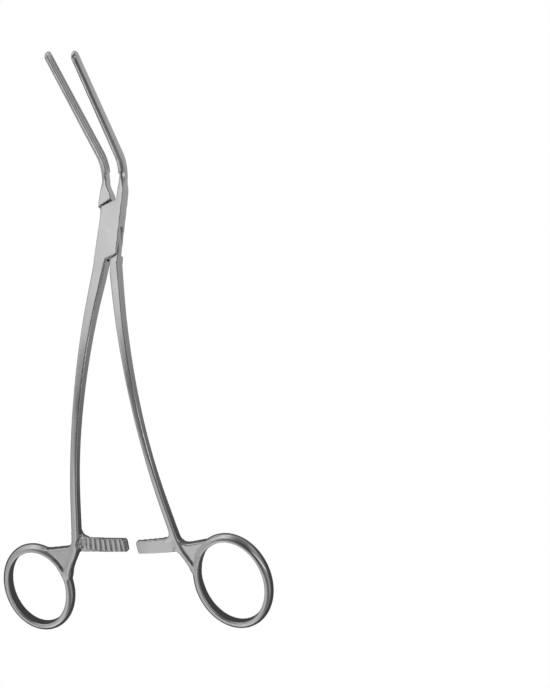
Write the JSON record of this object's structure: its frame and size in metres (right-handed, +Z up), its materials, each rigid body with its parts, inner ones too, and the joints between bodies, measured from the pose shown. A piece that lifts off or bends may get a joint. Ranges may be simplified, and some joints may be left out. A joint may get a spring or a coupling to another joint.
{
  "type": "vascular clamp",
  "caption": "Ring-handled clamp with a box lock, a finger ratchet, curved shanks and long serrated jaws bent out of the closing plane.",
  "frame": {"origin": "centre of the rivet's upper end on the front plate of the box lock", "axes": "+X along the closing direction, towards the half with the tongue at the shank; +Y along the clamp towards the jaws; +Z up from the surface the clamp rests on"},
  "size_m": [0.1188, 0.2388, 0.0484],
  "materials": {
    "satin_steel": "satin stainless steel",
    "bright_steel": "bright stainless steel"
  },
  "bodies": {
    "box_side": {"box_half": "satin_steel", "pivot_pin": "bright_steel"},
    "tongue_side": {"tongue_half": "satin_steel"}
  },
  "joints": [
    {"name": "pivot", "type": "hinge", "parent": "box_side", "child": "tongue_side", "pos_m": [0, 0, 0], "axis": [0, 0.3077, 0.9515], "range_deg": [-9.2, 26.5]}
  ]
}
